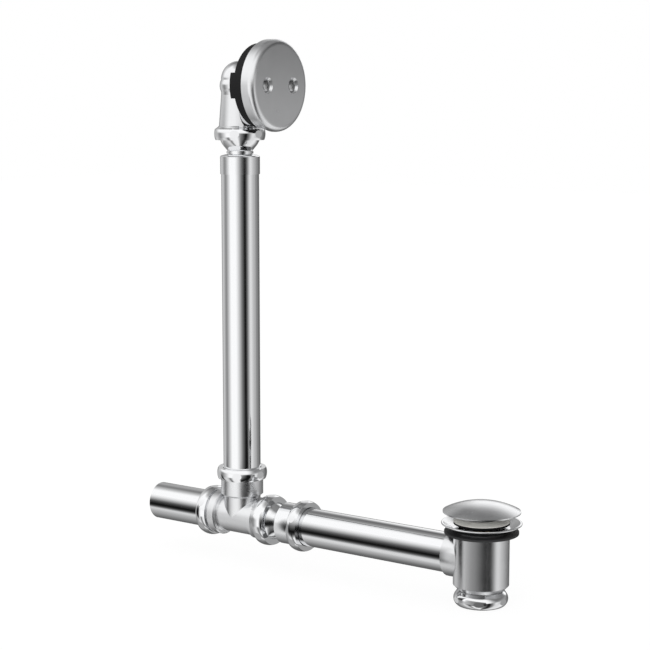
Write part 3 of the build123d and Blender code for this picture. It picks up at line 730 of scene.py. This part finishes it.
def studio_walls(tree):
    """What polished metal mirrors: walls all round, a ceiling above them and the ground below."""
    coordinates = add_node(tree, "ShaderNodeTexCoord", (-1800, 0))
    parts = add_node(tree, "ShaderNodeSeparateXYZ", (-1600, 0))
    tree.links.new(coordinates.outputs["Generated"], parts.inputs["Vector"])
    east, north, height = parts.outputs["X"], parts.outputs["Y"], parts.outputs["Z"]
    south = maths(tree, "MULTIPLY", (-1400, -100), north, -1)
    angle = maths(tree, "ARCTAN2", (-1200, 0), east, south)
    around = maths(tree, "MULTIPLY_ADD", (-1000, 0), angle, 1 / (2 * pi), 0.5)
    rise = maths(tree, "MULTIPLY_ADD", (-1000, -200), height, 0.5, 0.5)
    walls = wall_ramp(tree)
    ground = ground_ramp(tree)
    ceiling = ceiling_by_side(tree, around, rise)
    above = ramp_up(tree, (-750, -1850), {2: 0, 10: 1})
    below = ramp_up(tree, (-750, -2100), {-25: 1, -18: 0})
    for ramp, across in ((walls, around), (ground, around), (above, rise), (below, rise)):
        tree.links.new(across, ramp.inputs["Fac"])
    upper = mixed(tree, (-200, -100), above.outputs["Color"], walls.outputs["Color"], ceiling)
    return mixed(tree, (0, 0), below.outputs["Color"], upper, ground.outputs["Color"])


def make_world(studio):
    """White to the camera, studio walls to polished metal and an even soft light to all else."""
    world = bpy.data.worlds.new("studio_world")
    world.use_nodes = True
    tree = world.node_tree
    tree.nodes.clear()
    rays = add_node(tree, "ShaderNodeLightPath", (-200, 500))
    white = add_node(tree, "ShaderNodeBackground", (100, 400), Color=(1, 1, 1, 1), Strength=1)
    soft = add_node(tree, "ShaderNodeBackground", (100, 200), Color=(1, 1, 1, 1), Strength=studio.soft_light)
    walls = add_node(tree, "ShaderNodeBackground", (100, 0), Strength=studio.wall_light)
    tree.links.new(studio_walls(tree), walls.inputs["Color"])
    for_metal = add_node(tree, "ShaderNodeMixShader", (350, 100))
    for_camera = add_node(tree, "ShaderNodeMixShader", (550, 250))
    result = add_node(tree, "ShaderNodeOutputWorld", (750, 250))
    tree.links.new(rays.outputs["Is Glossy Ray"], for_metal.inputs["Fac"])
    tree.links.new(soft.outputs["Background"], for_metal.inputs[1])
    tree.links.new(walls.outputs["Background"], for_metal.inputs[2])
    tree.links.new(rays.outputs["Is Camera Ray"], for_camera.inputs["Fac"])
    tree.links.new(for_metal.outputs["Shader"], for_camera.inputs[1])
    tree.links.new(white.outputs["Background"], for_camera.inputs[2])
    tree.links.new(for_camera.outputs["Shader"], result.inputs["Surface"])
    bpy.context.scene.world = world


def floor_material(studio):
    """Pale floor: white to the camera but for a share of the shadow on it."""
    material = bpy.data.materials.new("pale_floor")
    material.use_nodes = True
    tree = material.node_tree
    tree.nodes.clear()
    rays = add_node(tree, "ShaderNodeLightPath", (-400, 300))
    matt = add_node(tree, "ShaderNodeBsdfDiffuse", (-200, 0), Color=(0.9, 0.9, 0.9, 1))
    white = add_node(tree, "ShaderNodeEmission", (-200, -150), Strength=studio.floor_light)
    white.inputs["Color"].default_value = (1, 1, 1, 1)
    plain = maths(tree, "MULTIPLY", (-200, 250), rays.outputs["Is Camera Ray"], 1 - studio.shadow_share)
    blend = add_node(tree, "ShaderNodeMixShader", (50, 50))
    result = add_node(tree, "ShaderNodeOutputMaterial", (250, 50))
    tree.links.new(plain, blend.inputs["Fac"])
    tree.links.new(matt.outputs["BSDF"], blend.inputs[1])
    tree.links.new(white.outputs["Emission"], blend.inputs[2])
    tree.links.new(blend.outputs["Shader"], result.inputs["Surface"])
    return material


def make_floor(studio):
    """Sheet under the lowest piece."""
    bpy.ops.object.select_all(action="DESELECT")
    bpy.ops.mesh.primitive_plane_add(size=2 * studio.floor_half, location=(0, 0, cad_low.z - FLOOR_GAP))
    floor = bpy.context.object
    floor.name = "studio_floor"
    floor.data.materials.append(floor_material(studio))
    floor.visible_glossy = False


def card_material(name, along, across, clearness, edge_fade):
    """Dark card: how clear it is at places along one side, and a fade at both ends of the other."""
    material = bpy.data.materials.new(name)
    material.use_nodes = True
    tree = material.node_tree
    tree.nodes.clear()
    coordinates = add_node(tree, "ShaderNodeTexCoord", (-1200, 0))
    parts = add_node(tree, "ShaderNodeSeparateXYZ", (-1000, 0))
    place = maths(tree, "ADD", (-800, 100), parts.outputs[along], 0.5)
    banding = grey_ramp(tree, (-600, 100), clearness)
    aside = maths(tree, "ABSOLUTE", (-800, -150), parts.outputs[across])
    ends = add_node(tree, "ShaderNodeMapRange", (-600, -150))
    ends.interpolation_type = "SMOOTHSTEP"
    ends.inputs["From Min"].default_value = 0.5 - edge_fade
    ends.inputs["From Max"].default_value = 0.5
    share = maths(tree, "MAXIMUM", (-300, 0), banding.outputs["Color"], ends.outputs["Result"])
    dark = add_node(tree, "ShaderNodeEmission", (-200, -150), Color=(0.008, 0.008, 0.008, 1), Strength=1)
    clear = add_node(tree, "ShaderNodeBsdfTransparent", (-200, -300))
    blend = add_node(tree, "ShaderNodeMixShader", (50, 0))
    result = add_node(tree, "ShaderNodeOutputMaterial", (250, 0))
    tree.links.new(coordinates.outputs["Object"], parts.inputs["Vector"])
    tree.links.new(place, banding.inputs["Fac"])
    tree.links.new(aside, ends.inputs["Value"])
    tree.links.new(share, blend.inputs["Fac"])
    tree.links.new(dark.outputs["Emission"], blend.inputs[1])
    tree.links.new(clear.outputs["BSDF"], blend.inputs[2])
    tree.links.new(blend.outputs["Shader"], result.inputs["Surface"])
    return material


def make_card(name, layout, material):
    """Upright card near the object, which only polished metal sees."""
    middle, width, height, turn = layout
    bpy.ops.object.select_all(action="DESELECT")
    bpy.ops.mesh.primitive_plane_add(size=1, location=middle, rotation=(pi / 2, 0, turn))
    bpy.ops.transform.resize(value=(width, height, 1), orient_type="LOCAL")
    card = bpy.context.object
    card.name = name
    card.data.materials.append(material)
    card.visible_camera = False
    card.visible_diffuse = False
    card.visible_shadow = False


def make_cards():
    """Dark cards for the bands along the level tubes, and part clear ones for the shoe and the plate."""
    lower_band = {0: 1, 0.07: 0.6, 0.134: 0.3, 0.194: 0.1, 0.244: 0.03, 0.3: 0}
    upper_band = {0.355: 0, 0.452: 0.05, 0.558: 0.17, 0.668: 0.43, 0.82: 0.78, 1: 1}
    band = card_material("dark_band", "Y", "X", lower_band | upper_band, edge_fade=0.06)
    make_card("tail_card", TAIL_CARD, band)
    make_card("arm_card", ARM_CARD, band)
    clearer_left = {0: 1, 0.1: 0.6, 0.2: 0.42, 0.35: 0.28, 0.52: 0.2, 0.71: 0.15, 1: 0.15}
    half_clear = card_material("half_clear", "X", "Y", clearer_left, edge_fade=0.1)
    make_card("shoe_card", SHOE_CARD, half_clear)
    clearer_below = {0: 1, 0.3: 1, 0.65: 0.55, 1: 0.2}
    darker_above = card_material("darker_above", "Y", "X", clearer_below, edge_fade=0.1)
    make_card("plate_card", PLATE_CARD, darker_above)


def make_camera(studio):
    """Camera at the photograph's angle."""
    camera = bpy.data.objects.new("camera", bpy.data.cameras.new("camera"))
    bpy.context.scene.collection.objects.link(camera)
    camera.location = studio.camera_place
    camera.rotation_euler = Euler((pi / 2 - studio.camera_pitch, 0, studio.camera_turn))
    camera.data.lens = studio.lens
    camera.data.clip_start = 0.05
    camera.data.clip_end = 50
    bpy.context.scene.camera = camera


def make_key(studio):
    """Large soft lamp beside the camera, low enough to reach under the plug's dome."""
    lamp = bpy.data.lights.new("key_lamp", "AREA")
    lamp.shape = "RECTANGLE"
    lamp.size = KEY_WIDTH
    lamp.size_y = KEY_HEIGHT
    lamp.energy = studio.key_power
    key = bpy.data.objects.new("key_lamp", lamp)
    bpy.context.scene.collection.objects.link(key)
    key.location = KEY_PLACE
    aim = Vector(KEY_AIM) - key.location
    key.rotation_euler = aim.to_track_quat("-Z", "Y").to_euler()
    key.visible_glossy = False


class SetStage(bpy.types.Operator):
    """Lay the floor, light the studio and place the camera"""

    bl_idname = "bath_waste.set_stage"
    bl_label = "Stage"

    def execute(self, context):
        studio = context.scene.bath_waste_studio
        make_world(studio)
        make_floor(studio)
        make_cards()
        make_key(studio)
        make_camera(studio)
        context.scene.view_settings.view_transform = "Standard"
        return {"FINISHED"}


OPERATORS = (
    DressTubes,
    DressNuts,
    DressCastings,
    DressPlug,
    WindSpring,
    DressRubber,
    DressOverflow,
    SetStage,
)


class BathWastePanel(bpy.types.Panel):
    """Lists the steps and their settings"""

    bl_idname = "BATHWASTE_PT_steps"
    bl_label = "Bath waste and overflow"
    bl_space_type = "VIEW_3D"
    bl_region_type = "UI"
    bl_category = "Bath waste"

    def draw(self, context):
        for step in OPERATORS:
            self.layout.operator(step.bl_idname)
        scene = context.scene
        for group in (scene.bath_waste_finish, scene.bath_waste_spring, scene.bath_waste_studio):
            for name in group.__annotations__:
                self.layout.prop(group, name)


CLASSES = (StudioSettings, FinishSettings, SpringSettings) + OPERATORS + (BathWastePanel,)


def register():
    for item in CLASSES:
        bpy.utils.register_class(item)
    bpy.types.Scene.bath_waste_studio = bpy.props.PointerProperty(type=StudioSettings)
    bpy.types.Scene.bath_waste_finish = bpy.props.PointerProperty(type=FinishSettings)
    bpy.types.Scene.bath_waste_spring = bpy.props.PointerProperty(type=SpringSettings)


def unregister():
    del bpy.types.Scene.bath_waste_spring
    del bpy.types.Scene.bath_waste_finish
    del bpy.types.Scene.bath_waste_studio
    for item in reversed(CLASSES):
        bpy.utils.unregister_class(item)


def main():
    register()
    bpy.ops.bath_waste.dress_tubes()
    bpy.ops.bath_waste.dress_nuts()
    bpy.ops.bath_waste.dress_castings()
    bpy.ops.bath_waste.dress_plug()
    bpy.ops.bath_waste.wind_spring()
    bpy.ops.bath_waste.dress_rubber()
    bpy.ops.bath_waste.dress_overflow()
    bpy.ops.bath_waste.set_stage()


if __name__ == "__main__":
    main()
